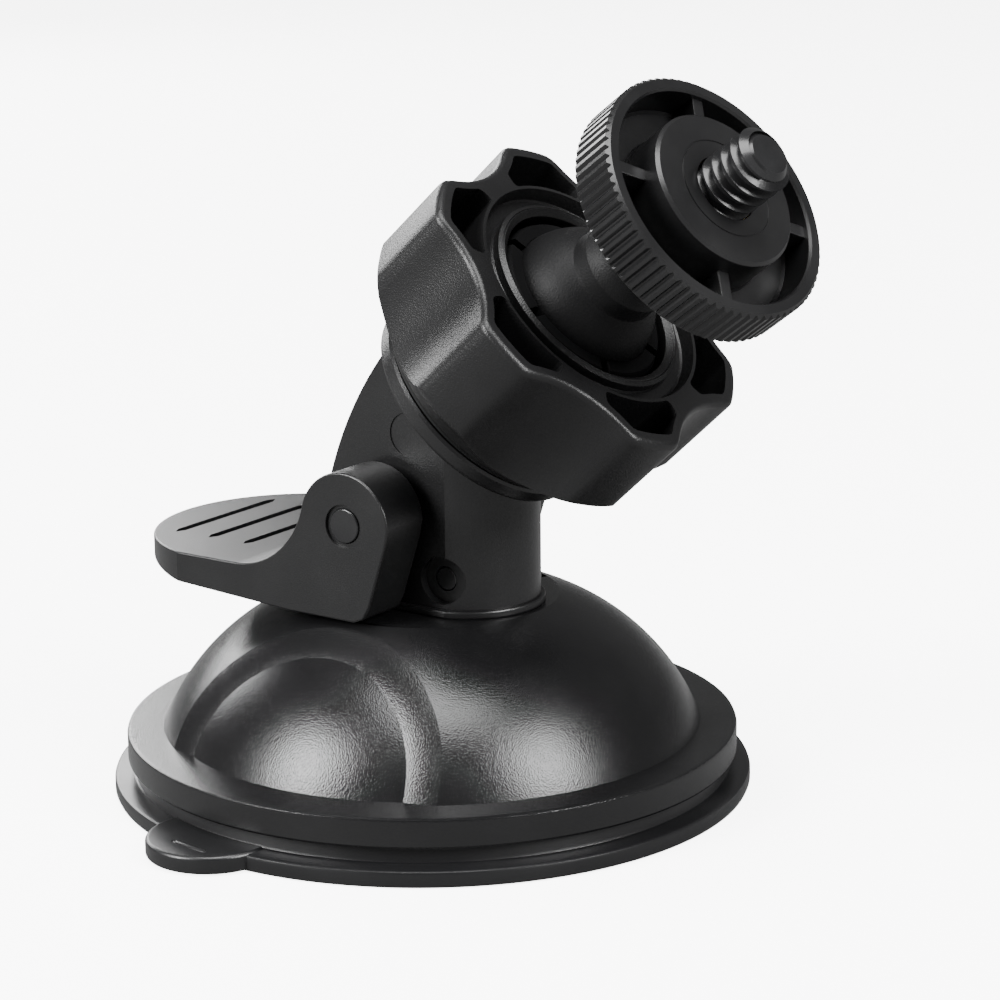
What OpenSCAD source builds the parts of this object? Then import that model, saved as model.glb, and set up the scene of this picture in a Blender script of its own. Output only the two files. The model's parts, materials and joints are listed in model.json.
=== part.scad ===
// Suction-cup mount with a lever lock, a clamped ball joint and a 1/4-20 camera stud.
// Units are millimetres. The origin is the centre of the cup's underside, +Z is up,
// the joint leans towards -Y and the lever's tab points towards +Y.

/* [Suction base] */
// Radius of the base cover's flange
flange_r = 31; // [29:0.5:34]
// Height of the flange's underside above the surface
flange_z = 3.35; // [3:0.05:3.8]
// Thickness of the flange
flange_t = 3; // [2.5:0.1:3.2]
// Radius of the dome where it meets the flange
dome_r = 27.3; // [26.5:0.1:28]
// Height of the flat land on top of the dome
land_z = 19.4; // [19:0.1:19.6]
// Radius of the rubber cup's lip
lip_r = 32.4; // [31.5:0.1:34]
// Height by which the locked lever holds the cup's centre up
pull_h = 2.5; // [2:0.1:2.8]
// Direction of the pull lug round the cup
lug_turn = 172; // [0:0.5:360]

/* [Lever] */
// Half of the lever's overall width
lever_half = 14.2; // [13.5:0.1:14.6]
// Height of the lever's pin above the surface
pin_z = 29.3; // [29:0.1:29.6]
// Radius of the lever's round head
head_r = 5.3; // [5:0.1:5.5]
// Distance from the pin to the end of the tab
tab_reach = 31.9; // [30:0.1:33]

/* [Neck] */
// Half of the neck's width between its flat sides
neck_half = 6.9; // [6.5:0.1:7]
// Radius of the neck's rounded front
neck_front_r = 7.2; // [7:0.1:7.4]

/* [Clamp knob] */
// Angle between the knob's axis and the vertical
knob_lean = 47.2; // [45:0.1:49]
// Radius over the knob's lobes
lobe_r = 17.9; // [17.5:0.1:18.5]
// Number of lobes
lobes = 6; // [6:1:6]
// Radius of the opening that the ball looks out of
mouth_r = 9.77; // [9.6:0.01:9.9]

/* [Ball and stud] */
// Radius of the ball
ball_r = 7.6; // [7.5:0.05:7.65]
// Angle between the stem and the knob's axis
stem_tilt = 9.6; // [0:0.1:25]
// Direction that the stem leans in, about the knob's axis
stem_pan = 224.7; // [0:0.1:359]
// Radius of the thumb wheel
wheel_r = 12.6; // [12:0.1:13]
// Radius of the 1/4-20 stud
stud_r = 3.175; // [3.175:0.001:3.175]
// Length of stud that stands above the wheel's hub
stud_out = 6.1; // [5:0.1:6.5]

/* [Hidden] */
$fn = 96;

eps = 0.01;
flange_top = flange_z + flange_t;
cover_wall = 2.2;

// The dome's section is one arc, centred off the axis and below the flange's top
arc_a = 6;
arc_top = 20.5;
arc_b = (pow(dome_r - arc_a, 2) + pow(flange_top, 2) - pow(arc_top, 2)) / (2 * (flange_top - arc_top));
arc_r = arc_top - arc_b;

// Shallow panels on the dome's two sides
panel_depth = 0.8;
panel_half = 14.6;
panel_crown_r = 16.5;
panel_top = 12.5;
panel_y = -0.6;

// Stiffening ribs under the dome
ribs = 8;
rib_w = 1.2;
rib_start = 7.1;
rib_low = 12;

// Rubber cup, from its lip in to the hub that the rod is moulded into
cup_step_r = 30.2;
cup_step_z = 1.76;
cup_face_r = 29.9;
lug_r = 6.4;
lug_at = 30.4;
lug_low = 0.15;
lug_top = 1.95;
lug_mark_at = 34.1;
lug_mark_r = 0.3;
lug_mark_l = 4.6;

// Pull rod, its disc in the cup, and the spring round it
rod_r = 4;
rod_over_pin = 4;
rod_chamfer = 1;
disc_r = 9;
disc_z = 3;
disc_t = 1.8;
hub_r = 8.2;
hub_z = 7;
washer_r = 7.4;
washer_t = 0.5;
spring_low = hub_z + washer_t;
spring_high = 14.6;
spring_mean_r = 6;
spring_wire_r = 0.5;
spring_turns = 4;
spring_sides = 8;
spring_steps = 24;
guide_r = rod_r + 0.05;

// Neck
front_y = -4.8;
back_y = 8.8;
step_h = 0.8;
step_out = 0.45;
back_arc_r = 38.2;
back_arc_z = 21.2;
post_half = [3.4, 2.5];
post_y = -7.25;
post_top = 26.4;
post_gap = 0.1;
cross_y = -6.3;
cross_z = 23.1;
cross_r = 1.25;
recess_r = 2.4;
recess_d = 0.9;
screw_x = 3.4;
screw_y = 6.5;
screw_r = 1.25;
screw_head_r = 2.3;
screw_head_t = 1.6;
screw_depth = 8;
drive_w = 0.7;
drive_l = 2.6;
drive_d = 0.7;
mark_r = 2.2;
mark_d = 0.15;
mark_y = -2.6;
mark_z = 37.3;

// Lever
cheek_in = 8.3;
cheek_low = 19.75;
tab_z = 23.7;
tab_under = 20.6;
scoop_r = 9;
bridge_y = 11;
tab_end_r = 14.8;
chin_y = -2.9;
chin_rise = 1.8;
cam_y = -1;
heel_y = 7;
toe_y = 22;
pin_r = 1.75;
pin_ring = 0.25;
pin_ring_d = 0.5;
rod_eye_r = 1.8;
groove_y = [26.6, 22.2, 17.6];
groove_half = 7.2;
groove_d = 0.5;
groove_w = 1.1;

// Knob, with heights along its own axis from the plane of its mouth
mouth_y = -19.2;
mouth_z = 51.7;
face = 0.3;
knob_rear = -15;
rear_r = 12.5;
shoulder_low = -10.4;
edge_chamfer = 0.5;
scallop_r = 10.5;
scallop_at = 25.5;
lobe_turn = 10;
pocket_in = 12.8;
pocket_out = 16.5;
pocket_half = 19;
pocket_depth = 7;
pocket_wall = 1.2;
dish_r = 12.4;
dish_d = 1.4;
lip_out = 10.7;
thread_r = 10.2;
bore_r = thread_r + 0.07;
spigot_top = -7.5;
collar_r = 12.3;
collar_low = -17.2;
collar_top = -15.35;
seat_r = 8.6;
seat_low = -13;
collet_low = -7.4;
collet_tip = -0.6;
collet_cyl = -4.4;
collet_tip_r = 9.3;
collet_tip_h = 0.8;
slots = 6;
slot_w = 1;
slot_low = -6;

// Ball, with heights along the stem from the ball's centre
ball_at = -2;
socket_r = ball_r + 0.05;
stem_waist = 4.1;
stem_root = 4.8;
stem_flare = 6.2;
waist_at = 10.2;
cove_r = 4.6;
stem_top = 15.65;
wheel_low = 15.95;
wheel_face = 21.05;
hub_face = wheel_face + 1.2;
boss_r = 7.9;
rim_in = 11.1;
web_t = 1.3;
spokes = 4;
spoke_w = 1.3;
spoke_turn = 14;
nut_af = 11.1;
nut_low = 16.4;
nut_t = 4;
hex_af = 7.6;
hex_low = 13;
hex_t = 2.4;
shank_r = 3;
stud_chamfer = 0.5;
wheel_gap = 0.3;
spoke_drop = 0.7;
nut_gap = 0.05;

module on_knob_axis() {
    translate([0, mouth_y, mouth_z]) rotate([knob_lean, 0, 0]) children();
}

module on_stem_axis() {
    on_knob_axis() translate([0, 0, ball_at]) rotate([0, 0, stem_pan]) rotate([0, stem_tilt, 0]) children();
}

// A bar of round section along X, centred on the plane of symmetry
module cross_bar(r, half, y, z) {
    translate([-half, y, z]) rotate([0, 90, 0]) cylinder(r = r, h = 2 * half);
}

// A profile drawn as (y, z), given a thickness along X
module side_plate(half) {
    rotate([90, 0, 90]) linear_extrude(2 * half, center = true) children();
}

// ---------- Suction base ----------

module cup_section() {
    difference() {
        polygon([[0, 0], [lip_r - 0.2, 0], [lip_r, 0.5], [lip_r, 1.5], [lip_r - 0.3, cup_step_z],
                 [cup_step_r, cup_step_z], [cup_face_r, flange_z], [25, flange_z], [20, 4],
                 [hub_r + 1.6, 5.2], [hub_r, hub_z - 0.4], [hub_r - 0.4, hub_z], [0, hub_z]]);
        polygon([[-1, -1], [23, -1], [23, 0], [22, 0.35], [10, pull_h - 0.35], [8, pull_h - 0.3],
                 [-1, pull_h - 0.3]]);
    }
}

module pull_lug() {
    rotate(lug_turn) difference() {
        translate([lug_at, 0, lug_low]) cylinder(r = lug_r, h = lug_top - lug_low);
        cylinder(r = lip_r - 3, h = 9, center = true);
        translate([lug_mark_at, 0, lug_top]) rotate([90, 0, 0])
            cylinder(r = lug_mark_r, h = lug_mark_l, center = true);
    }
}

module suction_cup() {
    color("#1b1b1c") difference() {
        union() {
            rotate_extrude() cup_section();
            pull_lug();
        }
        translate([0, 0, disc_z]) cylinder(r = disc_r, h = disc_t);
        translate([0, 0, disc_z]) cylinder(r = rod_r, h = 9);
    }
}

module pull_rod() {
    top_z = pin_z + rod_over_pin;
    color("#2a2a2b") difference() {
        union() {
            translate([0, 0, disc_z]) cylinder(r = disc_r, h = disc_t);
            translate([0, 0, disc_z]) cylinder(r = rod_r, h = top_z - disc_z - rod_chamfer);
            translate([0, 0, top_z - rod_chamfer])
                cylinder(r1 = rod_r, r2 = rod_r - rod_chamfer, h = rod_chamfer);
        }
        cross_bar(rod_eye_r, rod_r + 1, 0, pin_z);
    }
}

module spring_washer() {
    color("#b4b6b8") translate([0, 0, hub_z]) difference() {
        cylinder(r = washer_r, h = washer_t);
        translate([0, 0, -1]) cylinder(r = rod_r, h = 3);
    }
}

// Centre of the wire after a share t of its turns
function coil(t) = [
    spring_mean_r * cos(360 * spring_turns * t),
    spring_mean_r * sin(360 * spring_turns * t),
    spring_low + spring_wire_r + t * (spring_high - spring_low - 2 * spring_wire_r)
];

// A ring of the wire's surface round that centre
function wire_ring(t) = [
    for (k = [0 : spring_sides - 1])
    let (a = 360 * k / spring_sides, turn = 360 * spring_turns * t)
    coil(t) + spring_wire_r * [cos(a) * cos(turn), cos(a) * sin(turn), sin(a)]
];

module return_spring() {
    rings = spring_turns * spring_steps;
    points = [for (i = [0 : rings]) each wire_ring(i / rings)];
    sides = [
        for (i = [0 : rings - 1], k = [0 : spring_sides - 1])
        let (next = (k + 1) % spring_sides, low = i * spring_sides, high = low + spring_sides)
        each [[low + k, high + k, high + next], [low + k, high + next, low + next]]
    ];
    start = [for (k = [0 : spring_sides - 1]) k];
    end = [for (k = [spring_sides - 1 : -1 : 0]) rings * spring_sides + k];
    color("#9a9c9e") polyhedron(points = points, faces = concat(sides, [start, end]), convexity = 10);
}

// The dome's section, grown or shrunk by a margin
module dome_section(margin) {
    intersection() {
        translate([arc_a, arc_b]) circle(r = arc_r + margin);
        translate([0, flange_z]) square([40, land_z + margin - flange_z]);
    }
    translate([0, flange_z]) square([arc_a, land_z + margin - flange_z]);
}

module cover_section() {
    difference() {
        union() {
            translate([0, flange_z]) square([flange_r - 0.4, flange_t]);
            translate([0, flange_z + 0.4]) square([flange_r, flange_t - 0.8]);
            dome_section(0);
        }
        difference() {
            dome_section(-cover_wall);
            translate([0, -1]) square([rod_r + 3, 60]);
        }
        translate([0, -1]) square([rod_r + 3, spring_high + 1]);
        translate([0, -1]) square([24.6, flange_z + 2]);
    }
}

// One sunk panel: a wedge of the dome's skin, bounded by an arch
module panel_cut(turn) {
    rotate(turn) intersection() {
        rotate_extrude() difference() {
            dome_section(1);
            dome_section(-panel_depth);
        }
        translate([0, panel_y * cos(turn), flange_top]) rotate([90, 0, 90])
            linear_extrude(40) intersection() {
                circle(r = panel_half);
                translate([0, panel_top - panel_crown_r]) circle(r = panel_crown_r);
                translate([-20, 0]) square([40, 20]);
            }
    }
}

module base_cover() {
    color("#202021") difference() {
        union() {
            rotate_extrude() cover_section();
            translate([0, 0, land_z]) post();
            for (k = [0 : ribs - 1]) rotate(360 * (k + 0.5) / ribs) intersection() {
                translate([rib_start, -rib_w / 2, rib_low]) cube([dome_r - arc_a, rib_w, land_z]);
                rotate_extrude() dome_section(-cover_wall + 0.2);
            }
        }
        translate([0, 0, -1]) cylinder(r = guide_r, h = 60);
        cross_bar(cross_r, post_half[0] + 1, cross_y, cross_z);
        for (side = [-1, 1]) translate([side * screw_x, screw_y, 0]) {
            cylinder(r = screw_r, h = 60);
            cylinder(r = screw_head_r + 0.1, h = land_z - cover_wall);
        }
        panel_cut(180);
        panel_cut(0);
    }
}

// Post on the land that the neck's foot fits over
module post() {
    translate([-post_half[0], post_y - post_half[1], -eps])
        cube([2 * post_half[0], 2 * post_half[1] - post_gap, post_top - land_z]);
}

// ---------- Neck ----------

// Outline of the neck from above, grown by a margin
module neck_plan(margin) {
    intersection() {
        union() {
            translate([0, front_y]) circle(r = neck_front_r + margin);
            translate([-20, front_y]) square([40, back_y + margin - front_y]);
        }
        square([2 * (neck_half + margin), 60], center = true);
    }
}

// Outline of the neck from the side, up to the collar's underside
module neck_side() {
    intersection() {
        translate([back_y - back_arc_r, back_arc_z]) circle(r = back_arc_r);
        translate([-20, land_z]) square([40, 40]);
        translate([mouth_y, mouth_z]) rotate(knob_lean)
            translate([-30, collar_low + eps - 60]) square([60, 60]);
    }
}

module neck() {
    slot_r = pin_r + 0.35;
    color("#1f1f20") difference() {
        union() {
            intersection() {
                side_plate(neck_half) neck_side();
                linear_extrude(80) neck_plan(0);
            }
            translate([0, 0, land_z]) linear_extrude(step_h) neck_plan(step_out);
            on_knob_axis() translate([0, 0, collar_low])
                cylinder(r = collar_r, h = collar_top - collar_low);
            on_knob_axis() translate([0, 0, collar_low])
                cylinder(r = thread_r, h = spigot_top - collar_low);
        }
        on_knob_axis() translate([0, 0, seat_low]) cylinder(r = seat_r, h = 20);
        translate([0, 0, land_z - 1]) cylinder(r = rod_r + 0.4, h = pin_z + 5.6 - land_z);
        cross_bar(slot_r, 20, 0, pin_z);
        cross_bar(slot_r, 20, 0, pin_z - pull_h);
        translate([-20, -slot_r, pin_z - pull_h]) cube([40, 2 * slot_r, pull_h]);
        translate([0, 0, land_z]) post();
        cross_bar(cross_r, 20, cross_y, cross_z);
        for (side = [-1, 1]) {
            translate([side * (neck_half - recess_d), cross_y, cross_z]) rotate([0, side * 90, 0])
                cylinder(r = recess_r, h = 4);
            translate([side * screw_x, screw_y, land_z - 1]) cylinder(r = screw_r, h = screw_depth + 1);
            translate([side * (neck_half - mark_d), mark_y, mark_z]) rotate([0, side * 90, 0])
                cylinder(r = mark_r, h = 4);
        }
    }
}

module neck_pin() {
    color("#8d8f91") cross_bar(cross_r, neck_half - recess_d, cross_y, cross_z);
}

module neck_screws() {
    head_z = land_z - cover_wall;
    color("#8d8f91") for (side = [-1, 1]) translate([side * screw_x, screw_y, 0]) {
        translate([0, 0, head_z]) cylinder(r = screw_r, h = land_z + screw_depth - head_z);
        translate([0, 0, head_z - screw_head_t]) difference() {
            cylinder(r = screw_head_r, h = screw_head_t);
            cube([drive_w, drive_l, 2 * drive_d], center = true);
            cube([drive_l, drive_w, 2 * drive_d], center = true);
        }
    }
}

// ---------- Lever ----------

module lever_side() {
    scoop_y = sqrt(pow(scoop_r + head_r, 2) - pow(tab_z + scoop_r - pin_z, 2));
    translate([0, pin_z]) circle(r = head_r);
    difference() {
        polygon([[-head_r + 0.15, pin_z], [chin_y, cheek_low + chin_rise], [chin_y + 0.7, cheek_low + 0.5],
                 [cam_y, cheek_low], [heel_y, cheek_low], [toe_y, tab_under],
                 [tab_reach, tab_under + 1.2], [tab_reach, tab_z], [scoop_y, tab_z],
                 [4, pin_z + 3.4], [0, pin_z]]);
        translate([scoop_y, tab_z + scoop_r]) circle(r = scoop_r);
    }
}

// The tab seen from above: straight sides and a round end
module lever_plan() {
    intersection() {
        square([2 * lever_half, 100], center = true);
        union() {
            translate([-20, -20]) square([40, tab_reach - tab_end_r + 20]);
            translate([0, tab_reach - tab_end_r]) circle(r = tab_end_r);
        }
    }
}

module groove(y) {
    translate([-groove_half, y, tab_z - groove_d]) cube([2 * groove_half, groove_w, 4]);
    for (side = [-1, 1]) translate([side * groove_half, y + groove_w / 2, tab_z - groove_d])
        cylinder(r = groove_w / 2, h = 4);
}

module lever() {
    color("#232324") difference() {
        intersection() {
            side_plate(lever_half) lever_side();
            translate([0, 0, 10]) linear_extrude(40) lever_plan();
        }
        translate([-cheek_in, -20, 10]) cube([2 * cheek_in, bridge_y + 20, 40]);
        cross_bar(pin_r, 20, 0, pin_z);
        for (side = [-1, 1]) translate([side * (lever_half - pin_ring_d), 0, pin_z])
            rotate([0, side * 90, 0]) cylinder(r = pin_r + pin_ring, h = 2);
        for (y = groove_y) groove(y - groove_w / 2);
    }
}

module lever_pin() {
    color("#2b2b2c") cross_bar(pin_r, lever_half - 0.05, 0, pin_z);
}

// ---------- Ball socket and knob ----------

module ball_seat() {
    color("#c9c6bd") on_knob_axis() difference() {
        translate([0, 0, seat_low]) cylinder(r = seat_r, h = spigot_top - seat_low);
        translate([0, 0, ball_at]) sphere(r = socket_r);
    }
}

module ball_collet() {
    color("#2c2c2d") on_knob_axis() difference() {
        union() {
            translate([0, 0, collet_low]) cylinder(r = thread_r, h = collet_cyl - collet_low);
            translate([0, 0, collet_cyl])
                cylinder(r1 = thread_r, r2 = collet_tip_r, h = collet_tip - collet_cyl - collet_tip_h);
            translate([0, 0, collet_tip - collet_tip_h])
                cylinder(r1 = collet_tip_r, r2 = collet_tip_r - 0.5, h = collet_tip_h);
        }
        translate([0, 0, ball_at]) sphere(r = socket_r);
        for (k = [0 : slots - 1]) rotate(360 * k / slots) translate([0, -slot_w / 2, slot_low])
            cube([20, slot_w, 10]);
    }
}

module lobed_outline() {
    difference() {
        circle(r = lobe_r);
        for (k = [0 : lobes - 1]) rotate(lobe_turn + 360 * (k + 0.5) / lobes)
            translate([scallop_at, 0]) circle(r = scallop_r);
    }
}

module pocket_outline(k) {
    rotate(lobe_turn + 360 * k / lobes) difference() {
        intersection() {
            difference() {
                circle(r = pocket_out);
                circle(r = pocket_in);
            }
            polygon([[0, 0], [30, 30 * tan(pocket_half)], [30, -30 * tan(pocket_half)]]);
        }
        for (side = [-1, 1]) rotate(side * 180 / lobes) translate([scallop_at, 0])
            circle(r = scallop_r + pocket_wall);
    }
}

module clamp_knob() {
    color("#222223") on_knob_axis() difference() {
        intersection() {
            translate([0, 0, knob_rear]) linear_extrude(face - knob_rear) lobed_outline();
            rotate_extrude() polygon([[0, knob_rear], [rear_r, knob_rear], [rear_r + 0.4, knob_rear + 0.8],
                                      [lobe_r - 0.6, shoulder_low], [lobe_r + 0.1, shoulder_low + 1],
                                      [lobe_r + 0.1, face - edge_chamfer], [lobe_r - edge_chamfer, face],
                                      [0, face]]);
        }
        rotate_extrude() polygon([[lip_out, 5], [lip_out, face - dish_d], [dish_r - 0.4, face - dish_d],
                                  [dish_r, face], [dish_r, 5]]);
        rotate_extrude() polygon([[0, -20], [bore_r, -20], [bore_r, collet_cyl + 0.2], [9.45, -0.9],
                                  [mouth_r, 0], [mouth_r + 0.2, 5], [0, 5]]);
        cylinder(r = lip_out + eps, h = 5);
        for (k = [0 : lobes - 1]) translate([0, 0, face - pocket_depth]) linear_extrude(20)
            pocket_outline(k);
    }
}

// ---------- Stem, stud and wheel ----------

module ball_stem() {
    color("#1d1d1e") on_stem_axis() difference() {
        union() {
            sphere(r = ball_r);
            rotate_extrude() difference() {
                union() {
                    translate([0, 3]) square([stem_root, waist_at - 3]);
                    translate([0, waist_at]) square([stem_flare, stem_top - waist_at]);
                }
                translate([stem_waist + cove_r, waist_at]) circle(r = cove_r);
            }
        }
        translate([0, 0, hex_low]) hex_bar(hex_af, hex_t);
        translate([0, 0, hex_low + hex_t - eps]) cylinder(r = shank_r, h = 20);
    }
}

module hex_bar(across_flats, h) {
    cylinder(r = across_flats / sqrt(3), h = h, $fn = 6);
}

module camera_screw() {
    tip = hub_face + stud_out;
    color("#161617") on_stem_axis() {
        translate([0, 0, hex_low]) hex_bar(hex_af, hex_t);
        translate([0, 0, hex_low + hex_t - eps])
            cylinder(r = shank_r, h = hub_face - hex_low - hex_t + 2 * eps);
        translate([0, 0, hub_face]) cylinder(r = stud_r, h = stud_out - stud_chamfer);
        translate([0, 0, tip - stud_chamfer])
            cylinder(r1 = stud_r, r2 = stud_r - stud_chamfer, h = stud_chamfer);
    }
}

module thumb_wheel() {
    color("#1c1c1d") on_stem_axis() difference() {
        union() {
            translate([0, 0, wheel_low]) difference() {
                cylinder(r = wheel_r, h = wheel_face - wheel_low);
                translate([0, 0, web_t]) cylinder(r = rim_in, h = 20);
            }
            translate([0, 0, wheel_low]) cylinder(r = boss_r, h = hub_face - wheel_low);
            for (k = [0 : spokes - 1]) rotate(spoke_turn + 360 * k / spokes)
                translate([boss_r - 0.5, -spoke_w / 2, wheel_low])
                    cube([rim_in - boss_r + 1, spoke_w, wheel_face - spoke_drop - wheel_low]);
        }
        translate([0, 0, nut_low]) hex_bar(nut_af, nut_t);
        translate([0, 0, wheel_low - 1]) cylinder(r = stud_r + wheel_gap, h = 20);
    }
}

module wheel_nut() {
    color("#b08d4a") on_stem_axis() translate([0, 0, nut_low]) difference() {
        hex_bar(nut_af, nut_t);
        translate([0, 0, -1]) cylinder(r = shank_r + nut_gap, h = 9);
    }
}

suction_cup();
pull_rod();
spring_washer();
return_spring();
base_cover();
neck();
neck_pin();
neck_screws();
lever();
lever_pin();
ball_seat();
ball_collet();
clamp_knob();
ball_stem();
camera_screw();
thumb_wheel();
wheel_nut();
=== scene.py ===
import bpy
import json
import math
from mathutils import Matrix, Vector


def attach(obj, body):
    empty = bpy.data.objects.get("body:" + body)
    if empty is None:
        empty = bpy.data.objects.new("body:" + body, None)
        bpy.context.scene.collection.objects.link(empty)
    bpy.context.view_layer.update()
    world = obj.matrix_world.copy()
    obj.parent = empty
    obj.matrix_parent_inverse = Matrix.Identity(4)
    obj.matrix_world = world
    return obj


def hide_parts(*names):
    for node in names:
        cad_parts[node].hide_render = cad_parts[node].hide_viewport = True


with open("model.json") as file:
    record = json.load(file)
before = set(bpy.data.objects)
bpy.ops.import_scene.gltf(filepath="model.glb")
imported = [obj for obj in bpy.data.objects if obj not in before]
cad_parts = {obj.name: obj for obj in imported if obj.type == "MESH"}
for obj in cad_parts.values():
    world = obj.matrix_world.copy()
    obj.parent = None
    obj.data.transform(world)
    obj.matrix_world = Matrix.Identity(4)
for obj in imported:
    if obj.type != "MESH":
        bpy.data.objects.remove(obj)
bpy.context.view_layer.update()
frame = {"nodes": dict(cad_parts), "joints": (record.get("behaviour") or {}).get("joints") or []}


# ---- Suction cup ----
# One moulding of soft black rubber. Its thin lip seals on the glass, its centre grips the pull
# rod's disc, and an oval lug at its edge peels it off again.

mm = 0.001
cup_outline = [
    (0, 2.2), (8, 2.2), (10, 2.1), (16, 1.25), (22, 0.35), (22.6, 0.1), (23.2, 0),
    (31.9, 0), (32.25, 0.12), (32.4, 0.45), (32.4, 1.35), (32.3, 1.62), (32.05, 1.76),
    (30.5, 1.76), (30.25, 1.85), (30.15, 2.1), (29.9, 3.35), (25, 3.35), (20, 4.0), (9.8, 5.2),
    (8.5, 6.3), (8.2, 6.75), (7.8, 7.0), (4, 7.0), (4, 4.8), (9, 4.8), (9, 3.0), (0, 3.0),
]
lug_turn, lug_r, lug_at = 172, 6.4, 30.4
lug_low, lug_top = 0.15, 1.95
lug_mark_r, lug_mark_long, lug_mark_place = 0.34, 4.6, (34.1, 0.8, 2.0)


def select_only(*chosen):
    bpy.ops.object.select_all(action="DESELECT")
    for piece in chosen:
        piece.select_set(True)
    bpy.context.view_layer.objects.active = chosen[0]


def mark_faces(piece, action):
    """Selects every face of the piece, or none of them."""
    select_only(piece)
    bpy.ops.object.mode_set(mode="EDIT")
    bpy.ops.mesh.select_mode(type="FACE")
    bpy.ops.mesh.select_all(action=action)
    bpy.ops.object.mode_set(mode="OBJECT")


def turned(name, outline, sides=256):
    """An outline of (radius, height) in mm, extruded ring by ring round the Z axis."""
    bpy.ops.object.select_all(action="DESELECT")
    radii = [max(radius, 0.0005) for radius, height in outline]
    bpy.ops.mesh.primitive_circle_add(vertices=sides, radius=radii[0] * mm)
    piece = bpy.context.object
    piece.name = name
    bpy.ops.object.mode_set(mode="EDIT")
    bpy.ops.mesh.select_mode(type="VERT")
    bpy.ops.mesh.select_all(action="SELECT")
    bpy.ops.transform.translate(value=(0, 0, outline[0][1] * mm))
    for step in range(1, len(outline)):
        rise = (outline[step][1] - outline[step - 1][1]) * mm
        grow = radii[step] / radii[step - 1]
        bpy.ops.mesh.extrude_region_move(TRANSFORM_OT_translate={"value": (0, 0, rise)})
        bpy.ops.transform.resize(value=(grow, grow, 1), center_override=(0, 0, 0))
    bpy.ops.mesh.select_all(action="SELECT")
    bpy.ops.mesh.remove_doubles(threshold=0.002 * mm)
    bpy.ops.mesh.normals_make_consistent(inside=False)
    bpy.ops.object.mode_set(mode="OBJECT")
    return piece


def apply_modifier(piece, kind, **settings):
    select_only(piece)
    modifier = piece.modifiers.new(kind.lower(), kind)
    for key, value in settings.items():
        setattr(modifier, key, value)
    bpy.ops.object.modifier_apply(modifier=modifier.name)


def combine(piece, tool, operation):
    """Joins the tool to the piece, or cuts it away, and throws the tool out."""
    apply_modifier(piece, "BOOLEAN", object=tool, operation=operation, solver="EXACT")
    bpy.data.objects.remove(tool)


def soften(piece, width, segments=3, angle=32):
    """Rounds every edge that is sharper than the angle."""
    apply_modifier(piece, "BEVEL", width=width * mm, segments=segments, limit_method="ANGLE",
                   angle_limit=math.radians(angle), use_clamp_overlap=True)


def smooth(piece, angle=32):
    """Shades the piece smooth up to the angle, with its broad faces kept flat."""
    select_only(piece)
    bpy.ops.object.shade_smooth_by_angle(angle=math.radians(angle))
    apply_modifier(piece, "WEIGHTED_NORMAL", keep_sharp=True, weight=60)


def settle(piece, turn=None):
    """Bakes the piece's place into its mesh, turned by the matrix if there is one."""
    if turn is not None:
        piece.matrix_world = turn @ piece.matrix_world
    select_only(piece)
    bpy.ops.object.transform_apply(location=True, rotation=True, scale=True)


def round_bar(name, radius, length, middle, axis="Z", sides=64):
    """A bar of round section along one axis, used as a pin, a lug, a groove or a hole."""
    bpy.ops.object.select_all(action="DESELECT")
    bpy.ops.mesh.primitive_cylinder_add(vertices=sides, radius=radius * mm, depth=length * mm)
    bar = bpy.context.object
    bar.name = name
    if axis == "X":
        bar.rotation_euler = (0, math.radians(90), 0)
    if axis == "Y":
        bar.rotation_euler = (math.radians(90), 0, 0)
    bar.location = Vector(middle) * mm
    settle(bar)
    return bar


cup = turned("suction_cup_rubber", cup_outline)
lug = round_bar("lug", lug_r, lug_top - lug_low, (lug_at, 0, (lug_low + lug_top) / 2), sides=128)
soften(lug, 0.4, segments=5)
slot_mark = round_bar("slot_mark", lug_mark_r, lug_mark_long, lug_mark_place, axis="Y", sides=32)
soften(slot_mark, 0.25)
combine(lug, slot_mark, "DIFFERENCE")
settle(lug, Matrix.Rotation(math.radians(lug_turn), 4, "Z"))
combine(cup, lug, "UNION")
smooth(cup)


def shader_group(name, inputs, outputs):
    """An empty node group with its sockets, for an effect that several materials share."""
    group = bpy.data.node_groups.new(name, "ShaderNodeTree")
    for socket, value in inputs.items():
        kind = "NodeSocketVector" if value is None else "NodeSocketFloat"
        made = group.interface.new_socket(name=socket, in_out="INPUT", socket_type=kind)
        if value is not None:
            made.default_value = value
    for socket in outputs:
        group.interface.new_socket(name=socket, in_out="OUTPUT", socket_type="NodeSocketFloat")
    return group, group.nodes.new("NodeGroupInput"), group.nodes.new("NodeGroupOutput")


def add_node(tree, kind, values=None, **settings):
    node = tree.nodes.new(kind)
    for key, value in settings.items():
        setattr(node, key, value)
    for key, value in (values or {}).items():
        node.inputs[key].default_value = value
    return node


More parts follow.
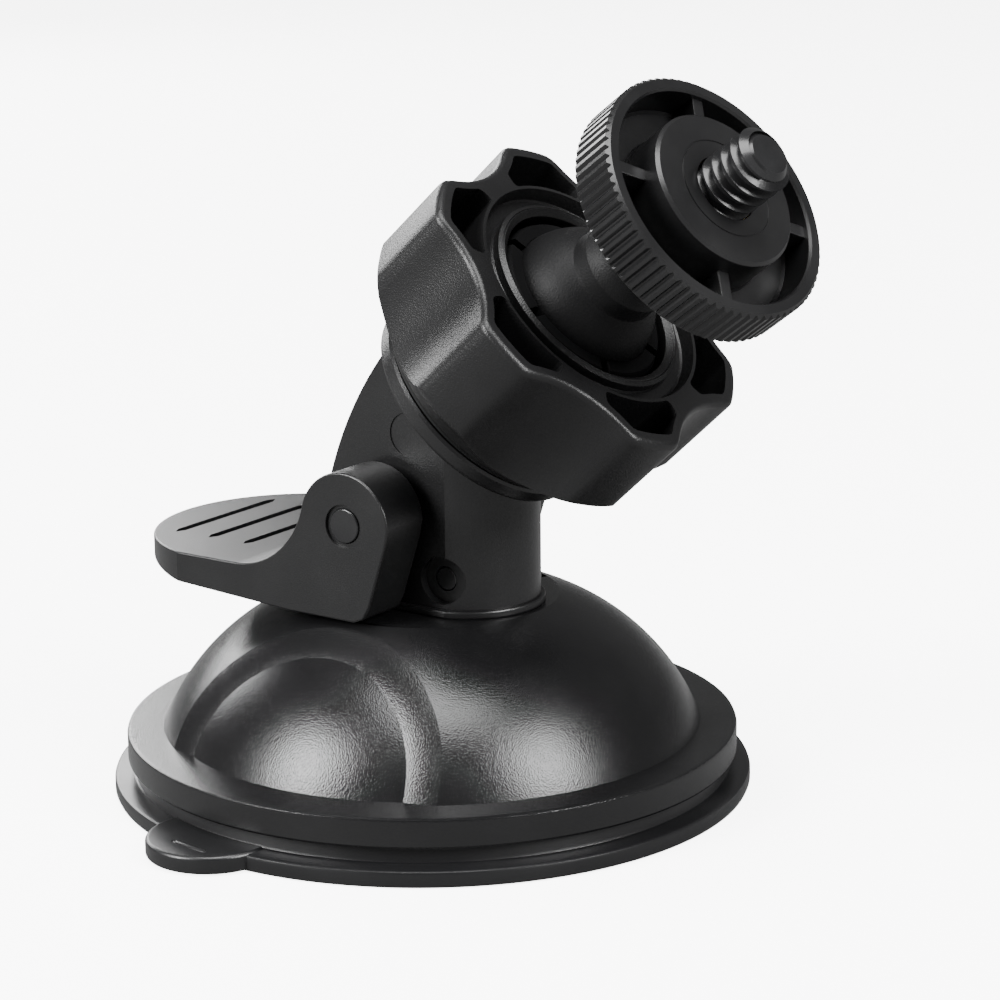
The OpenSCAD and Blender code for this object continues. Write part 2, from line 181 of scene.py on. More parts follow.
def moulded_skin():
    """Pebbled or sparked mould grain, and slow patches of gloss where hands have polished it."""
    group, given, result = shader_group(
        "moulded_skin",
        {"Position": None, "Grain": 2500.0, "Patch": 90.0, "Gloss": 0.35, "Spread": 0.1},
        ["Height", "Roughness", "Handled"],
    )
    cells = add_node(group, "ShaderNodeTexVoronoi", {"Randomness": 1.0}, feature="SMOOTH_F1")
    cells.inputs["Smoothness"].default_value = 0.6
    fine = add_node(group, "ShaderNodeTexNoise", {"Detail": 3.0, "Roughness": 0.6})
    patch = add_node(group, "ShaderNodeTexNoise", {"Detail": 4.0, "Roughness": 0.55})
    half = add_node(group, "ShaderNodeMath", {1: 0.55}, operation="MULTIPLY")
    mix = add_node(group, "ShaderNodeMath", {1: 0.5}, operation="MULTIPLY_ADD")
    centred = add_node(group, "ShaderNodeMath", {1: 0.5}, operation="SUBTRACT")
    swing = add_node(group, "ShaderNodeMath", operation="MULTIPLY_ADD")
    handled = add_node(group, "ShaderNodeMapRange", {"From Min": 0.45, "From Max": 0.7})
    for texture, scale in ((cells, "Grain"), (fine, "Grain"), (patch, "Patch")):
        group.links.new(given.outputs["Position"], texture.inputs["Vector"])
        group.links.new(given.outputs[scale], texture.inputs["Scale"])
    group.links.new(cells.outputs["Distance"], half.inputs[0])
    group.links.new(fine.outputs["Fac"], mix.inputs[0])
    group.links.new(half.outputs[0], mix.inputs[2])
    group.links.new(mix.outputs[0], result.inputs["Height"])
    group.links.new(patch.outputs["Fac"], centred.inputs[0])
    group.links.new(centred.outputs[0], swing.inputs[0])
    group.links.new(given.outputs["Spread"], swing.inputs[1])
    group.links.new(given.outputs["Gloss"], swing.inputs[2])
    group.links.new(swing.outputs[0], result.inputs["Roughness"])
    group.links.new(patch.outputs["Fac"], handled.inputs["Value"])
    group.links.new(handled.outputs["Result"], result.inputs["Handled"])
    return group


skin_group = moulded_skin()


def moulding(name, colour, handled_colour, grain, depth, gloss, spread=0.1, patch=90.0, coat=0.0,
             metallic=0.0, specular=0.5):
    """A material of the moulded skin: its colour, mould grain and gloss."""
    material = bpy.data.materials.new(name)
    material.use_nodes = True
    tree = material.node_tree
    shader = tree.nodes["Principled BSDF"]
    shader.inputs["Metallic"].default_value = metallic
    shader.inputs["Specular IOR Level"].default_value = specular
    shader.inputs["Coat Weight"].default_value = coat
    shader.inputs["Coat Roughness"].default_value = 0.12
    place = add_node(tree, "ShaderNodeTexCoord")
    skin = add_node(tree, "ShaderNodeGroup", node_tree=skin_group)
    for key, value in (("Grain", grain), ("Patch", patch), ("Gloss", gloss), ("Spread", spread)):
        skin.inputs[key].default_value = value
    tint = add_node(tree, "ShaderNodeMix", data_type="RGBA")
    tint.inputs[6].default_value = (*colour, 1)
    tint.inputs[7].default_value = (*handled_colour, 1)
    relief = add_node(tree, "ShaderNodeBump", {"Strength": 1.0, "Distance": depth * mm})
    tree.links.new(place.outputs["Object"], skin.inputs["Position"])
    tree.links.new(skin.outputs["Handled"], tint.inputs[0])
    tree.links.new(tint.outputs[2], shader.inputs["Base Color"])
    tree.links.new(skin.outputs["Roughness"], shader.inputs["Roughness"])
    tree.links.new(skin.outputs["Height"], relief.inputs["Height"])
    tree.links.new(relief.outputs["Normal"], shader.inputs["Normal"])
    return material


def dress(piece, material):
    piece.data.materials.clear()
    piece.data.materials.append(material)


cup_rubber = moulding("cup_rubber", (0.006, 0.006, 0.0065), (0.01, 0.01, 0.0105),
                      grain=7000, depth=0.012, gloss=0.32, spread=0.22, patch=60)
dress(cup, cup_rubber)
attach(cup, "base")
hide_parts("suction_cup")


# ---- Pull rod, washer and spring ----
# A plastic rod with a disc moulded into the cup, a zinc-plated washer on the cup's hub, and a
# drawn steel spring between that washer and the dome. They sit inside the base cover.

def dress_node(node, material):
    dress(frame["nodes"][node], material)
    return frame["nodes"][node]


rod_plastic = moulding("rod_plastic", (0.012, 0.012, 0.0125), (0.018, 0.018, 0.0185),
                       grain=5000, depth=0.004, gloss=0.3)
zinc_steel = moulding("zinc_steel", (0.56, 0.57, 0.58), (0.7, 0.7, 0.7),
                      grain=3500, depth=0.004, gloss=0.3, spread=0.3, metallic=1.0)
spring_steel = moulding("spring_steel", (0.4, 0.4, 0.41), (0.5, 0.5, 0.5),
                        grain=6000, depth=0.003, gloss=0.28, spread=0.2, metallic=1.0)
dress_node("pull_rod", rod_plastic)
dress_node("spring_washer", zinc_steel)
dress_node("return_spring", spring_steel)


# ---- Base cover ----
# A dome with a flat flange, injection moulded in black ABS with a fine leather grain. An arched
# panel is sunk into each side, with a sloping band round it. Its land carries the neck's foot.

land_z = 19.4
flange_low, flange_top = 3.35, 6.35
dome_foot_r, wall_top = 27.3, 20.5
arc_in = 6.0
arc_z = (((dome_foot_r - arc_in) ** 2 + flange_top ** 2 - wall_top ** 2)
         / (2 * (flange_top - wall_top)))
arc_r = wall_top - arc_z
dome_low, land_r, guide_r, wall_t = 5.0, 12.4, 4.05, 1.6
arch_outer = (15.7, 12.7)
arch_inner = (12.9, 11.1)
arch_y = -0.6
panel_sink, panel_from, sheet_deep = 0.8, 11, 20


def arc_points(middle, radius, first, last, step=4):
    """Points along an arc, in mm, from one angle to the other in degrees."""
    count = max(2, round(abs(last - first) / step))
    turns = [math.radians(first + (last - first) * k / count) for k in range(count + 1)]
    return [(middle[0] + radius * math.cos(a), middle[1] + radius * math.sin(a)) for a in turns]


def arch_sheet(half_width, crown, side):
    """A sheet bent to the arch's outline, standing through the dome's wall on one side."""
    bpy.ops.object.select_all(action="DESELECT")
    bpy.ops.mesh.primitive_circle_add(vertices=144, radius=1)
    sheet = bpy.context.object
    sheet.rotation_euler = (math.radians(90), 0, math.radians(90))
    settle(sheet)
    bpy.ops.object.mode_set(mode="EDIT")
    bpy.ops.mesh.select_mode(type="VERT")
    bpy.ops.mesh.select_all(action="SELECT")
    bpy.ops.transform.resize(value=(1, half_width * mm, crown * mm), center_override=(0, 0, 0))
    bpy.ops.transform.translate(value=(side * panel_from * mm, arch_y * mm, flange_top * mm))
    bpy.ops.mesh.extrude_region_move(TRANSFORM_OT_translate={"value": (side * sheet_deep * mm, 0, 0)})
    bpy.ops.object.mode_set(mode="OBJECT")
    return sheet


def crossing(piece, sheet):
    """Cuts the piece's faces along the sheet, and leaves the sheet out."""
    mark_faces(piece, "DESELECT")
    mark_faces(sheet, "SELECT")
    select_only(piece, sheet)
    bpy.ops.object.join()
    bpy.ops.object.mode_set(mode="EDIT")
    bpy.ops.mesh.intersect(mode="SELECT_UNSELECT", separate_mode="NONE", solver="EXACT")
    bpy.ops.mesh.select_all(action="DESELECT")
    bpy.ops.object.mode_set(mode="OBJECT")
    for face in piece.data.polygons:
        face.select = abs(face.normal.x) < 0.002 and abs(face.center.x) > (panel_from - 0.1) * mm
    bpy.ops.object.mode_set(mode="EDIT")
    bpy.ops.mesh.delete(type="FACE")
    bpy.ops.mesh.select_all(action="SELECT")
    bpy.ops.mesh.remove_doubles(threshold=0.002 * mm)
    bpy.ops.object.mode_set(mode="OBJECT")


def in_arch(spot, arch):
    """How far out a spot lies in an arch: 0 at its foot's middle and 1 on its outline."""
    return math.hypot((spot.y / mm - arch_y) / arch[0], (spot.z / mm - flange_top) / arch[1])


dome_first = math.degrees(math.asin((dome_low - arc_z) / arc_r))
dome_last = math.degrees(math.asin((land_z - arc_z) / arc_r))
dome_outline = arc_points((arc_in, arc_z), arc_r, dome_first, dome_last, step=2)
cover = turned("base_cover_abs", dome_outline + [(land_r, land_z), (guide_r, land_z)], sides=288)
for side in (-1, 1):
    for arch in (arch_outer, arch_inner):
        crossing(cover, arch_sheet(*arch, side))

sunk = cover.vertex_groups.new(name="sunk")
for vertex in cover.data.vertices:
    spot = vertex.co
    outer, inner = in_arch(spot, arch_outer), in_arch(spot, arch_inner)
    if abs(spot.x) > panel_from * mm and outer < 0.9999:
        share = 1 if inner <= 1.0001 else (1 - outer) / (inner - outer)
        sunk.add([vertex.index], share, "REPLACE")
apply_modifier(cover, "DISPLACE", strength=-panel_sink * mm, mid_level=0, vertex_group="sunk")
apply_modifier(cover, "SOLIDIFY", thickness=wall_t * mm, offset=-1)

flange = turned("flange", [(24.4, 3.45), (24.5, flange_low), (30.6, flange_low), (30.85, 3.42),
                           (31, 3.65), (31, 5.95), (30.9, 6.22), (30.6, flange_top),
                           (24.4, flange_top), (24.4, 3.45)], sides=288)
smooth(cover, 9)
smooth(flange, 24)
select_only(cover, flange)
bpy.ops.object.join()

grained_abs = moulding("grained_abs", (0.005, 0.005, 0.0053), (0.008, 0.008, 0.0083),
                       grain=6500, depth=0.032, gloss=0.22, spread=0.06, patch=70)
dress(cover, grained_abs)
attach(cover, "base")
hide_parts("base_cover")


# ---- Neck ----
# One moulding in satin black plastic: a foot with a small step, flat sides with a round front and
# a long curved back, and above them the knob's collar and the spigot that its thread runs on.

joints = {joint["name"]: joint for joint in frame["joints"]}
knob_axis = Vector(joints["knob_turn"]["axis"])
ball_middle = Vector(joints["stem_tilt"]["pos_m"])
ball_sink = 2.0
mouth = ball_middle + knob_axis * ball_sink * mm
knob_place = (Matrix.Translation(mouth)
              @ Vector((0, 0, 1)).rotation_difference(knob_axis).to_matrix().to_4x4())
# Stands a flat plate up, so that its x and y become the mount's y and z
side_on = Matrix(((0, 0, 1, 0), (1, 0, 0, 0), (0, 1, 0, 0), (0, 0, 0, 1)))
neck_half = 6.9
front_y, front_r, back_y = -4.8, 7.2, 8.8
back_arc = (-29.4, 21.2, 38.2)
foot_out, foot_high = 0.45, 0.8
collar_low, collar_top = -17.2, -15.35
spigot_r, seat_r, seat_low, spigot_top = 10.2, 8.6, -13, -7.5
pin_z, rod_travel, slot_r, rod_way_r = 29.3, 2.5, 2.1, 4.4
cross_place, cross_r = (-6.3, 23.1), 1.25
recess_r, recess_deep = 2.4, 0.9
mark_place, mark_r, mark_deep = (-2.6, 37.3), 2.2, 0.12


def plate(name, outline, low, high, turn=None):
    """A closed outline of (x, y) in mm, drawn point by point, filled and given a thickness."""
    bpy.ops.object.select_all(action="DESELECT")
    bpy.ops.mesh.primitive_plane_add(size=mm)
    piece = bpy.context.object
    piece.name = name
    bpy.ops.object.mode_set(mode="EDIT")
    bpy.ops.mesh.select_mode(type="VERT")
    bpy.ops.mesh.select_all(action="SELECT")
    bpy.ops.mesh.merge(type="CENTER")
    start = (outline[0][0] * mm, outline[0][1] * mm, low * mm)
    bpy.ops.transform.translate(value=start)
    for near, far in zip(outline, outline[1:]):
        step = ((far[0] - near[0]) * mm, (far[1] - near[1]) * mm, 0)
        bpy.ops.mesh.extrude_vertices_move(TRANSFORM_OT_translate={"value": step})
    bpy.ops.mesh.select_all(action="SELECT")
    bpy.ops.mesh.edge_face_add()
    bpy.ops.mesh.extrude_region_move(
        TRANSFORM_OT_translate={"value": (0, 0, (high - low) * mm)})
    bpy.ops.mesh.select_all(action="SELECT")
    bpy.ops.mesh.normals_make_consistent(inside=False)
    bpy.ops.object.mode_set(mode="OBJECT")
    if turn is not None:
        settle(piece, turn)
    return piece


def neck_plan(margin):
    """The neck's outline from above, grown by a margin."""
    half = neck_half + margin
    radius = front_r + margin
    lean = math.degrees(math.acos(half / radius))
    front = arc_points((0, front_y), radius, 180 + lean, 360 - lean, step=5)
    return front + [(half, back_y + margin), (-half, back_y + margin)]


collar_mid = mouth / mm + knob_axis * collar_low
back_start = math.degrees(math.asin((land_z - back_arc[1]) / back_arc[2]))
neck = plate("neck_moulding",
             [(-13, land_z)] + arc_points(back_arc[:2], back_arc[2], back_start, 41.3, step=2)
             + [(collar_mid.y + 0.3, collar_mid.z + 0.6), (-13, 33.6)], -neck_half, neck_half, side_on)
plan = plate("plan", neck_plan(0), 10, 60)
combine(neck, plan, "INTERSECT")
soften(neck, 0.3, segments=2)
foot = plate("foot", neck_plan(foot_out), land_z, land_z + foot_high)
soften(foot, 0.18, segments=2)
collar = turned("collar", [(0, collar_low), (11.9, collar_low), (12.2, collar_low + 0.12),
                           (12.3, collar_low + 0.4), (12.3, collar_top - 0.3),
                           (12.1, collar_top), (spigot_r, collar_top),
                           (spigot_r, spigot_top - 0.3), (spigot_r - 0.3, spigot_top),
                           (seat_r, spigot_top), (seat_r, seat_low), (0, seat_low)], sides=192)
settle(collar, knob_place)
combine(neck, collar, "UNION")
combine(neck, foot, "UNION")
rod_way = round_bar("rod_way", rod_way_r, 16, (0, 0, land_z + 7.5))
combine(neck, rod_way, "DIFFERENCE")
pin_way = plate("pin_way", arc_points((0, pin_z), slot_r, 0, 180, 15)
                + arc_points((0, pin_z - rod_travel), slot_r, 180, 360, 15), -20, 20, side_on)
combine(neck, pin_way, "DIFFERENCE")
for side in (-1, 1):
    recess = round_bar("recess", recess_r, 2, (side * (neck_half - recess_deep + 1), *cross_place),
                       axis="X")
    combine(neck, recess, "DIFFERENCE")
    ejector = round_bar("ejector_mark", mark_r, 2, (side * (neck_half - mark_deep + 1), *mark_place),
                        axis="X")
    combine(neck, ejector, "DIFFERENCE")
cross_way = round_bar("cross_way", cross_r, 30, (0, *cross_place), axis="X")
combine(neck, cross_way, "DIFFERENCE")
smooth(neck, 13)

satin_plastic = moulding("satin_plastic", (0.006, 0.006, 0.0063), (0.01, 0.01, 0.0103),
                         grain=8000, depth=0.02, gloss=0.34, spread=0.12, patch=80)
dress(neck, satin_plastic)
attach(neck, "base")
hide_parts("neck")


# ---- Neck's cross pin and screws ----
# A blackened steel pin through the neck's foot and the cover's post, its end sunk in a round
# recess, and two zinc-plated screws driven up from beneath the dome.

cross_pin = round_bar("neck_pin_steel", cross_r - 0.01, 2 * (neck_half - recess_deep),
                      (0, *cross_place), axis="X", sides=48)
soften(cross_pin, 0.2, segments=3)
smooth(cross_pin)
black_steel = moulding("black_steel", (0.007, 0.007, 0.0075), (0.014, 0.014, 0.0145),
                       grain=7000, depth=0.003, gloss=0.24, spread=0.12, patch=120)
dress(cross_pin, black_steel)
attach(cross_pin, "base")
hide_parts("neck_pin")
dress_node("neck_screws", zinc_steel)


# ---- Lever ----
# The locking lever, moulded in satin black plastic: two thick cheeks whose round heads turn on the
# pin and bear on the dome, and a thin tab with three finger grooves.

head_r, scoop_r = 5.3, 9.0
tab_low, tab_top, tab_end, tab_round = 20.6, 23.7, 31.9, 14.8
lever_half, cheek_in, bridge_y = 14.2, 8.3, 11.0
grooves, groove_half, groove_deep = (26.6, 22.2, 17.6), 7.2, 0.45
pin_r, pin_ring, pin_ring_deep = 1.75, 0.4, 0.3
scoop_y = math.sqrt((scoop_r + head_r) ** 2 - (tab_top + scoop_r - pin_z) ** 2)
head_meets = math.degrees(math.atan2(tab_top + scoop_r - pin_z, scoop_y))

lever_outline = (
    [(-1, 19.75), (7, 19.75), (22, tab_low), (tab_end, tab_low + 1.2), (tab_end, tab_top)]
    + arc_points((scoop_y, tab_top + scoop_r), scoop_r, 270, 180 + head_meets)
    + arc_points((0, pin_z), head_r, head_meets, 178)[1:]
    + [(-5.0, 28.0), (-2.9, 21.55), (-2.2, 20.25)])
lever = plate("lever_moulding", lever_outline, -lever_half, lever_half, side_on)
tab_plan = plate("tab_plan", arc_points((0, tab_end - tab_round), tab_round, 8, 172, 3)
                 + [(-15, -20), (15, -20)], 10, 50)
combine(lever, tab_plan, "INTERSECT")
gap = plate("gap", [(-cheek_in, -20), (cheek_in, -20), (cheek_in, bridge_y), (-cheek_in, bridge_y)],
            10, 50)
combine(lever, gap, "DIFFERENCE")
soften(lever, 0.7, segments=4, angle=35)
for groove_y in grooves:
    groove = plate("groove", [(-groove_half - 1, 0), (-groove_half, -0.5), (groove_half, -0.5),
                              (groove_half + 1, 0), (groove_half, 0.5), (-groove_half, 0.5)],
                   tab_top - groove_deep, tab_top + 1)
    settle(groove, Matrix.Translation((0, groove_y * mm, 0)))
    combine(lever, groove, "DIFFERENCE")
pin_hole = round_bar("pin_hole", pin_r + 0.03, 40, (0, 0, pin_z), axis="X")
combine(lever, pin_hole, "DIFFERENCE")
for side in (-1, 1):
    ring = round_bar("ring", pin_r + pin_ring, 1, (side * (lever_half - pin_ring_deep + 0.5), 0, pin_z),
                     axis="X")
    combine(lever, ring, "DIFFERENCE")
smooth(lever, 28)
dress(lever, satin_plastic)
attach(lever, "lever")
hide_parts("lever")


# ---- Lever pin ----
# A blackened steel pin through both cheeks and the pull rod's eye, ground flush with the cheeks.

pin = round_bar("lever_pin_steel", pin_r, 2 * (lever_half - 0.08), (0, 0, pin_z), axis="X")
soften(pin, 0.2, segments=3)
smooth(pin)
dress(pin, black_steel)
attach(pin, "lever")
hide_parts("lever_pin")


# ---- Ball seat and collet ----
# A natural nylon seat behind the ball, and the slotted collet that the knob's cone closes on it.

seat_nylon = moulding("seat_nylon", (0.62, 0.59, 0.52), (0.7, 0.68, 0.6),
                      grain=4000, depth=0.004, gloss=0.42, spread=0.1)
# The collet's reflections are turned down (specular 0.12) as painted shade, standing in for the dark
# gap between the knob's lip and the ball.
collet_plastic = moulding("collet_plastic", (0.005, 0.005, 0.0053), (0.008, 0.008, 0.0083),
                          grain=6000, depth=0.005, gloss=0.5, specular=0.12)
dress_node("ball_seat", seat_nylon)
dress_node("ball_collet", collet_plastic)


# ---- Clamp knob ----
# Six lobes with a pocket moulded into each, a cone at the rear and a raised lip round the mouth.
# Black plastic with a fine spark-eroded skin.

lobe_r, scallop_r, scallop_at, lobe_turn = 17.9, 10.5, 25.5, 10
knob_face, knob_rear = 0.3, -15.0
pocket_in, pocket_out, pocket_half, pocket_deep = 12.8, 16.5, 19, 7
pocket_wall, face_round, round_reach = 1.2, 0.7, 17.0


def lobe_reach(turn, widen=0.0, blend=0.45):
    """The knob's radius at an angle from a lobe's middle, its lobe blended into its scallop."""
    off = math.radians(30 - abs((turn + 30) % 60 - 30))
    inside = (scallop_r + widen) ** 2 - (scallop_at * math.sin(off)) ** 2
    if inside <= 0:
        return lobe_r
    scallop = scallop_at * math.cos(off) - math.sqrt(inside)
    return -blend * math.log(math.exp(-lobe_r / blend) + math.exp(-scallop / blend))


def polar(radius, turn):
    return (radius * math.cos(math.radians(turn)), radius * math.sin(math.radians(turn)))


knob = plate("clamp_knob_moulding",
             [polar(lobe_reach(turn), turn + lobe_turn) for turn in range(0, 360, 2)],
             knob_rear - 1, knob_face - face_round)
mark_faces(knob, "DESELECT")
for face in knob.data.polygons:
    face.select = face.normal.z > 0.9
bpy.ops.object.mode_set(mode="EDIT")
rise, reach = 0.0, round_reach
for turn in (18, 36, 54, 72, 90):
    higher = face_round * math.sin(math.radians(turn))
    nearer = round_reach - face_round * (1 - math.cos(math.radians(turn)))
    bpy.ops.mesh.extrude_region_move(TRANSFORM_OT_translate={"value": (0, 0, (higher - rise) * mm)})
    bpy.ops.transform.resize(value=(nearer / reach, nearer / reach, 1),
                             center_override=(0, 0, 0))
    rise, reach = higher, nearer
bpy.ops.mesh.select_all(action="SELECT")
bpy.ops.mesh.normals_make_consistent(inside=False)
bpy.ops.object.mode_set(mode="OBJECT")
waist = turned("waist", [(0, knob_rear - 0.01), (12.2, knob_rear - 0.01), (12.7, -14.7),
                         (12.9, -14.2), (17.1, -10.6), (17.6, -10.0), (17.9, -9.4), (18.2, -8.6),
                         (18.2, 1), (0, 1)], sides=194)
combine(knob, waist, "INTERSECT")
dish = turned("dish", [(10.72, 2), (10.72, -0.9), (10.9, -1.1), (11.9, -1.1), (12.1, -0.95),
                       (12.45, 0.2), (12.6, 2), (10.72, 2)], sides=190)
combine(knob, dish, "DIFFERENCE")
bore = turned("bore", [(0, -20), (10.27, -20), (10.27, -4.2), (9.45, -0.9), (9.55, -0.3),
                       (10.0, 0.05), (10.15, 0.14), (10.25, 0.05), (10.35, 0.14), (10.76, -0.12),
                       (10.76, 2.2), (0, 2.2)], sides=194)
combine(knob, bore, "DIFFERENCE")
for lobe in range(6):
    spread = range(-pocket_half, pocket_half + 1, 2)
    outer_side = [polar(min(pocket_out, lobe_reach(turn, pocket_wall)), turn) for turn in spread]
    inner_side = [polar(pocket_in, turn) for turn in reversed(spread)]
    pocket = plate("pocket", outer_side + inner_side, knob_face - pocket_deep, knob_face + 2)
    soften(pocket, 0.45, segments=2)
    settle(pocket, Matrix.Rotation(math.radians(lobe_turn + 60 * lobe), 4, "Z"))
    combine(knob, pocket, "DIFFERENCE")
settle(knob, knob_place)
smooth(knob, 28)

knob_plastic = moulding("knob_plastic", (0.007, 0.007, 0.0073), (0.011, 0.011, 0.0113),
                        grain=6500, depth=0.035, gloss=0.36, spread=0.1, patch=60,
                        specular=0.38)
dress(knob, knob_plastic)
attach(knob, "knob")
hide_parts("clamp_knob")


# ---- Ball and stem ----
# One satin black moulding: the ball, a waisted stem, and a flared head that grips the screw's hex.

stem_tilt, stem_pan = 9.6, 224.7
stem_place = (knob_place @ Matrix.Translation((0, 0, -ball_sink * mm))
              @ Matrix.Rotation(math.radians(stem_pan), 4, "Z")
              @ Matrix.Rotation(math.radians(stem_tilt), 4, "Y"))
ball_r = 7.6
cove = (8.7, 10.2)
stem = turned("ball_stem_moulding",
              [(ball_r * math.cos(a), ball_r * math.sin(a))
               for a in (math.radians(-90 + 3.5 * k) for k in range(40))]
              + [(4.85, 5.9), (4.8, 6.3)] + arc_points(cove, 4.6, 212, 123, 5)
              + [(6.2, 14.4), (6.2, 15.3), (5.95, 15.65), (3.3, 15.65), (3.3, 12.9), (0, 12.9)],
              sides=160)
settle(stem, stem_place)
smooth(stem, 28)
# Its reflections are turned down (specular 0.18) as painted shade, standing in for the shadow that the
# wheel and knob cast on the ball.
stem_plastic = moulding("stem_plastic", (0.006, 0.006, 0.0063), (0.01, 0.01, 0.0103),
                        grain=6000, depth=0.04, gloss=0.5, spread=0.15, patch=120,
                        specular=0.18)
dress(stem, stem_plastic)
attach(stem, "stem")
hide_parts("ball_stem")


# ---- Camera screw ----
# A 1/4-20 steel screw, blackened and glossy, its hex head moulded into the stem and its thread
# standing above the wheel.

screw_low, screw_tip = 13.0, 28.35
head_in, thread_low = 3.25, 20.6
thread_r, core_r, pitch = 3.175, 2.52, 1.27

screw = turned("camera_screw_steel",
               [(0, screw_low + 0.02), (head_in, screw_low + 0.02), (head_in, 15.3), (core_r, 15.5),
                (core_r, 27.75), (1.95, screw_tip), (0, screw_tip)], sides=96)
bpy.ops.object.select_all(action="DESELECT")
thread = plate("thread", [(core_r - 0.12, -0.56), (thread_r, -0.09), (thread_r, 0.09),
                          (core_r - 0.12, 0.56)], 0, 0.01,
               Matrix.Translation((0, 0, thread_low * mm)) @ Matrix.Rotation(math.radians(90), 4, "X"))
mark_faces(thread, "DESELECT")
for face in thread.data.polygons:
    face.select = abs(face.normal.y) < 0.9 or face.center.y < -0.005 * mm
bpy.ops.object.mode_set(mode="EDIT")
bpy.ops.mesh.delete(type="FACE")
bpy.ops.mesh.select_mode(type="VERT")
bpy.ops.object.mode_set(mode="OBJECT")
apply_modifier(thread, "SCREW", angle=math.tau, screw_offset=pitch * mm, iterations=6, steps=56,
               render_steps=56, use_merge_vertices=False)
select_only(thread)
bpy.ops.object.mode_set(mode="EDIT")
bpy.ops.mesh.select_all(action="SELECT")
bpy.ops.mesh.remove_doubles(threshold=0.001 * mm)
bpy.ops.mesh.select_all(action="SELECT")
bpy.ops.mesh.fill_holes(sides=8)
bpy.ops.mesh.select_all(action="SELECT")
bpy.ops.mesh.normals_make_consistent(inside=False)
bpy.ops.object.mode_set(mode="OBJECT")
combine(screw, thread, "UNION")
envelope = turned("envelope", [(0, 12), (6, 12), (6, 15.4), (thread_r, 15.4), (thread_r, 27.6),
                               (2.35, screw_tip), (0, screw_tip)], sides=96)
combine(screw, envelope, "INTERSECT")
settle(screw, stem_place)
smooth(screw, 28)
dress(screw, black_steel)
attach(screw, "stem")
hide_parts("camera_screw")


# ---- Thumb wheel ----
# Polished black plastic: a finely ribbed rim, four spokes and a hub disc, moulded over a brass nut
# that jams against the camera.

wheel_low, wheel_face, hub_face = 15.95, 21.05, 22.25
wheel_r, rim_in, boss_r = 12.6, 11.1, 7.9
ribs, rib_deep = 80, 0.26
spokes, spoke_turn, spoke_half, spoke_drop = 4, 14, 0.65, 0.7

rim_outline = []
for rib in range(ribs):
    start = 360 / ribs * rib
    for share, radius in ((0, wheel_r - rib_deep), (0.25, wheel_r), (0.6, wheel_r),
                          (0.85, wheel_r - rib_deep)):
        rim_outline.append(polar(radius, start + share * 360 / ribs))
wheel = plate("thumb_wheel_moulding", rim_outline, wheel_low, wheel_face)
rim_ends = turned("rim_ends", [(0, wheel_low - 0.01), (12.1, wheel_low - 0.01), (12.7, 16.45),
                               (12.7, 20.6), (12.2, wheel_face + 0.01), (0, wheel_face + 0.01)],
                  sides=192)
combine(wheel, rim_ends, "INTERSECT")
well = turned("well", [(boss_r, 30), (boss_r, 17.45), (8.1, 17.25), (rim_in - 0.3, 17.25),
                       (rim_in, 17.5), (rim_in + 0.02, 20.8), (rim_in + 0.25, 21.1),
                       (rim_in + 0.25, 30), (boss_r, 30)], sides=192)
combine(wheel, well, "DIFFERENCE")
hub = turned("hub", [(0, 17), (boss_r, 17), (boss_r, hub_face - 0.3), (boss_r - 0.3, hub_face),
                     (0, hub_face)], sides=160)
ring_mark = turned("ring_mark", [(4.85, 30), (4.9, hub_face - 0.08), (5.1, hub_face - 0.08),
                                 (5.15, 30), (4.85, 30)], sides=128)
combine(hub, ring_mark, "DIFFERENCE")
combine(wheel, hub, "UNION")
for spoke_number in range(spokes):
    spoke = plate("spoke", [(boss_r - 0.6, -spoke_half), (rim_in + 0.6, -spoke_half),
                            (rim_in + 0.6, spoke_half), (boss_r - 0.6, spoke_half)],
                  17, wheel_face - spoke_drop)
    soften(spoke, 0.15, segments=2)
    settle(spoke, Matrix.Rotation(math.radians(spoke_turn + 360 / spokes * spoke_number), 4, "Z"))
    combine(wheel, spoke, "UNION")
screw_way = round_bar("screw_way", 3.3, 20, (0, 0, 20), sides=96)
combine(wheel, screw_way, "DIFFERENCE")
settle(wheel, stem_place)
smooth(wheel, 28)
gloss_plastic = moulding("gloss_plastic", (0.006, 0.006, 0.0063), (0.01, 0.01, 0.0103),
                         grain=6000, depth=0.003, gloss=0.3, spread=0.14, patch=90)
dress(wheel, gloss_plastic)
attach(wheel, "wheel")
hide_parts("thumb_wheel")

nut_brass = moulding("nut_brass", (0.6, 0.45, 0.2), (0.75, 0.6, 0.3),
                     grain=3000, depth=0.004, gloss=0.3, spread=0.2, metallic=1.0)
dress_node("wheel_nut", nut_brass)


# ---- Floor, light and camera ----
# A plain white table under an even white sky, with soft boxes to the left, to the right, above and
# behind. Reflections see a greyer table and sky, as with black cards round a glossy black part.

bpy.ops.object.select_all(action="DESELECT")
bpy.ops.mesh.primitive_plane_add(size=6)
floor = bpy.context.object
floor.name = "floor"
paper = bpy.data.materials.new("paper")
paper.use_nodes = True
paper_shader = paper.node_tree.nodes["Principled BSDF"]
paper_shader.inputs["Base Color"].default_value = (0.93, 0.93, 0.93, 1)
paper_shader.inputs["Roughness"].default_value = 0.7
paper_shader.inputs["Emission Color"].default_value = (1, 1, 1, 1)
paper_shader.inputs["Emission Strength"].default_value = 6.0
dress(floor, paper)

grey_card = add_node(paper.node_tree, "ShaderNodeBsdfDiffuse", {"Color": (0.17, 0.17, 0.17, 1)})
seen = add_node(paper.node_tree, "ShaderNodeLightPath")
either = add_node(paper.node_tree, "ShaderNodeMixShader")
paper.node_tree.links.new(seen.outputs["Is Camera Ray"], either.inputs[0])
paper.node_tree.links.new(grey_card.outputs[0], either.inputs[1])
paper.node_tree.links.new(paper_shader.outputs[0], either.inputs[2])
paper.node_tree.links.new(either.outputs[0],
                          paper.node_tree.nodes["Material Output"].inputs["Surface"])

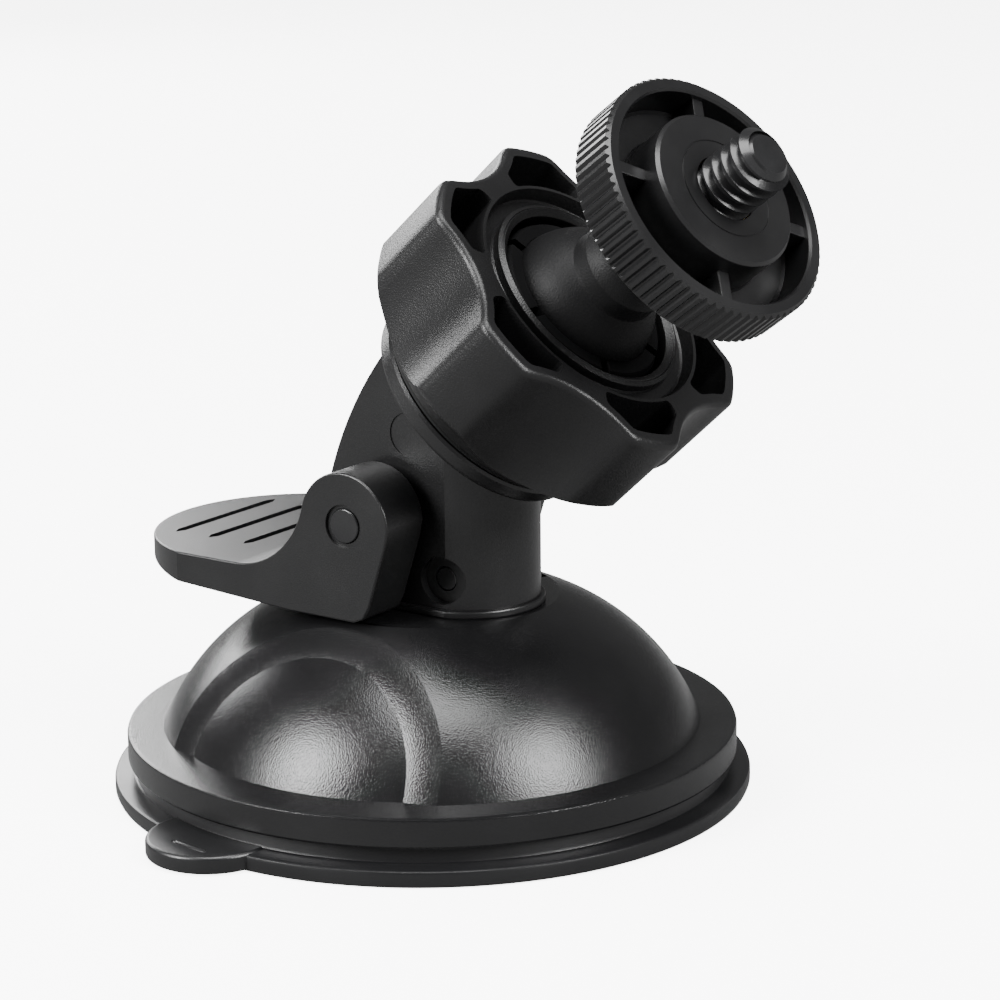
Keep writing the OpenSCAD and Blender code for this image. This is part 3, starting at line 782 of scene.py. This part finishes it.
sky_reflected, sky_in_view = 0.16, 7.0
sky = bpy.data.worlds.new("sky")
sky.use_nodes = True
backdrop = sky.node_tree.nodes["Background"]
backdrop.inputs["Color"].default_value = (1, 1, 1, 1)
sky_seen = add_node(sky.node_tree, "ShaderNodeLightPath")
sky_level = add_node(sky.node_tree, "ShaderNodeMapRange",
                     {"To Min": sky_reflected, "To Max": sky_in_view})
sky.node_tree.links.new(sky_seen.outputs["Is Camera Ray"], sky_level.inputs["Value"])
sky.node_tree.links.new(sky_level.outputs["Result"], backdrop.inputs["Strength"])
bpy.context.scene.world = sky

camera_turn, camera_rise, camera_roll = -55.2, 14.13, 0.54
camera_place = Vector((6.82, 28.06, 308.1))


def soft_box(name, turn, rise, distance, width, height, power):
    """A rectangular lamp aimed at the mount, from a bearing and a height in degrees."""
    bearing, lift = math.radians(turn), math.radians(rise)
    place = Vector((math.sin(bearing) * math.cos(lift), -math.cos(bearing) * math.cos(lift),
                    math.sin(lift))) * distance
    bpy.ops.object.light_add(type="AREA", location=place + Vector((0, 0, 0.03)))
    lamp = bpy.context.object
    lamp.name = name
    lamp.data.shape = "RECTANGLE"
    lamp.data.size, lamp.data.size_y = width, height
    lamp.data.energy = power
    lamp.visible_camera = False
    lamp.rotation_euler = (-place).to_track_quat("-Z", "Y").to_euler()


soft_box("left_box", camera_turn - 62, 30, 0.75, 0.3, 0.4, 12)
soft_box("right_box", camera_turn + 55, 32, 0.75, 0.3, 0.4, 9)
soft_box("top_box", camera_turn + 15, 78, 0.8, 0.5, 0.5, 10)
soft_box("back_box", camera_turn - 150, 20, 0.8, 0.6, 0.25, 5)

view_turn = (Matrix.Rotation(math.radians(camera_turn), 4, "Z")
             @ Matrix.Rotation(math.radians(90 - camera_rise), 4, "X")
             @ Matrix.Rotation(math.radians(-camera_roll), 4, "Z"))
camera_data = bpy.data.cameras.new("camera")
camera_data.lens = 108
camera_data.sensor_width = 36
camera = bpy.data.objects.new("camera", camera_data)
bpy.context.scene.collection.objects.link(camera)
camera.matrix_world = view_turn @ Matrix.Translation(camera_place * mm)
bpy.context.scene.camera = camera
